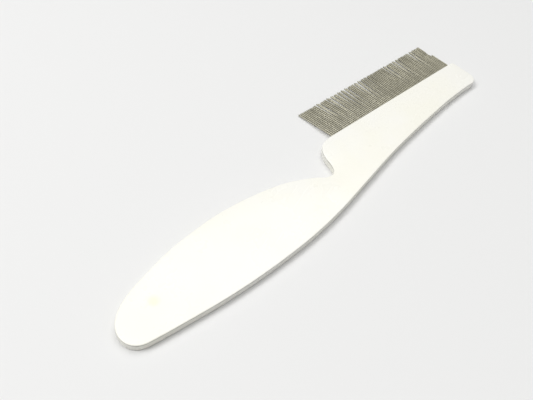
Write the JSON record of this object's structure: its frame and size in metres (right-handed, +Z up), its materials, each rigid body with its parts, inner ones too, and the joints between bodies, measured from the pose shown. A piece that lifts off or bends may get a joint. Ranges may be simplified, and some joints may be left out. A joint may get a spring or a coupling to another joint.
{
  "type": "fine-tooth pet comb",
  "caption": "Flat knife-shaped plastic handle with a finger notch, and a row of fine steel wire teeth set in the straight front edge of its head.",
  "frame": {"origin": "under the middle of the comb's bounding box, on the plane it lies on", "axes": "+X from the butt of the grip to the head, +Y from the back of the handle to the tooth tips, +Z up through the flat handle's thickness"},
  "size_m": [0.1778, 0.0458, 0.0032],
  "materials": {
    "white_plastic": "smooth glossy ivory-white injection moulding",
    "steel_wire": "satin drawn wire, slightly dull"
  },
  "bodies": {
    "root": {"handle": "white_plastic", "tooth_pair_01": "steel_wire", "tooth_pair_02": "steel_wire", "tooth_pair_03": "steel_wire", "tooth_pair_04": "steel_wire", "tooth_pair_05": "steel_wire", "tooth_pair_06": "steel_wire", "tooth_pair_07": "steel_wire", "tooth_pair_08": "steel_wire", "tooth_pair_09": "steel_wire", "tooth_pair_10": "steel_wire", "tooth_pair_11": "steel_wire", "tooth_pair_12": "steel_wire", "tooth_pair_13": "steel_wire", "tooth_pair_14": "steel_wire", "tooth_pair_15": "steel_wire", "tooth_pair_16": "steel_wire", "tooth_pair_17": "steel_wire", "tooth_pair_18": "steel_wire", "tooth_pair_19": "steel_wire", "tooth_pair_20": "steel_wire", "tooth_pair_21": "steel_wire", "tooth_pair_22": "steel_wire", "tooth_pair_23": "steel_wire", "tooth_pair_24": "steel_wire", "tooth_pair_25": "steel_wire", "tooth_pair_26": "steel_wire", "tooth_pair_27": "steel_wire", "tooth_pair_28": "steel_wire", "tooth_pair_29": "steel_wire", "tooth_pair_30": "steel_wire", "tooth_pair_31": "steel_wire", "tooth_pair_32": "steel_wire", "tooth_pair_33": "steel_wire", "tooth_pair_34": "steel_wire", "tooth_pair_35": "steel_wire", "tooth_pair_36": "steel_wire", "tooth_pair_37": "steel_wire", "tooth_pair_38": "steel_wire", "tooth_pair_39": "steel_wire", "tooth_pair_40": "steel_wire"}
  },
  "joints": []
}
